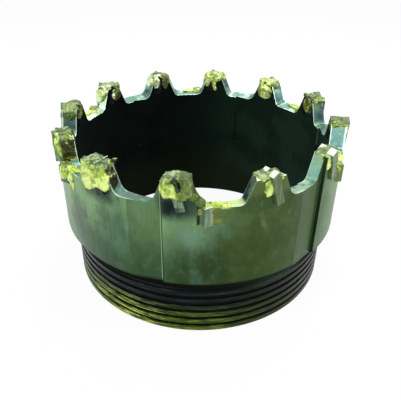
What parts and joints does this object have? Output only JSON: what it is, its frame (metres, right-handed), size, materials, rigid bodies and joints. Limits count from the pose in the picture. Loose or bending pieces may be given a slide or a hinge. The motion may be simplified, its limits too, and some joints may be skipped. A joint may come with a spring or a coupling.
{
  "type": "core bit",
  "caption": "Carbide-tipped core bit with milled gullets, waterways, brazed cutting and gauge prisms, and a threaded pin below its shoulder.",
  "frame": {"origin": "on the axis, in the plane of the threaded pin's end face that the bit stands on", "axes": "+Z along the axis towards the teeth; -Y faces the viewer of the picture"},
  "size_m": [0.1493, 0.1512, 0.0863],
  "materials": {
    "steel": "ground, heat-stained and oily",
    "carbide": "ground",
    "braze": "as run, lumpy"
  },
  "bodies": {
    "root": {"bit_body": "steel", "carbide_outer_01": "carbide", "carbide_outer_02": "carbide", "carbide_outer_03": "carbide", "carbide_outer_04": "carbide", "carbide_outer_05": "carbide", "carbide_outer_06": "carbide", "carbide_outer_07": "carbide", "carbide_outer_08": "carbide", "carbide_outer_09": "carbide", "carbide_outer_10": "carbide", "carbide_outer_11": "carbide", "carbide_outer_12": "carbide", "carbide_inner_01": "carbide", "carbide_inner_02": "carbide", "carbide_inner_03": "carbide", "carbide_inner_04": "carbide", "carbide_inner_05": "carbide", "carbide_inner_06": "carbide", "carbide_inner_07": "carbide", "carbide_inner_08": "carbide", "carbide_inner_09": "carbide", "carbide_inner_10": "carbide", "carbide_inner_11": "carbide", "carbide_inner_12": "carbide", "braze_01": "braze", "braze_02": "braze", "braze_03": "braze", "braze_04": "braze", "braze_05": "braze", "braze_06": "braze", "braze_07": "braze", "braze_08": "braze", "braze_09": "braze", "braze_10": "braze", "braze_11": "braze", "braze_12": "braze", "gauge_carbide_1": "carbide", "gauge_carbide_2": "carbide", "gauge_carbide_3": "carbide", "gauge_carbide_4": "carbide", "gauge_carbide_5": "carbide", "gauge_carbide_6": "carbide", "gauge_braze_1": "braze", "gauge_braze_2": "braze", "gauge_braze_3": "braze", "gauge_braze_4": "braze", "gauge_braze_5": "braze", "gauge_braze_6": "braze"}
  },
  "joints": []
}
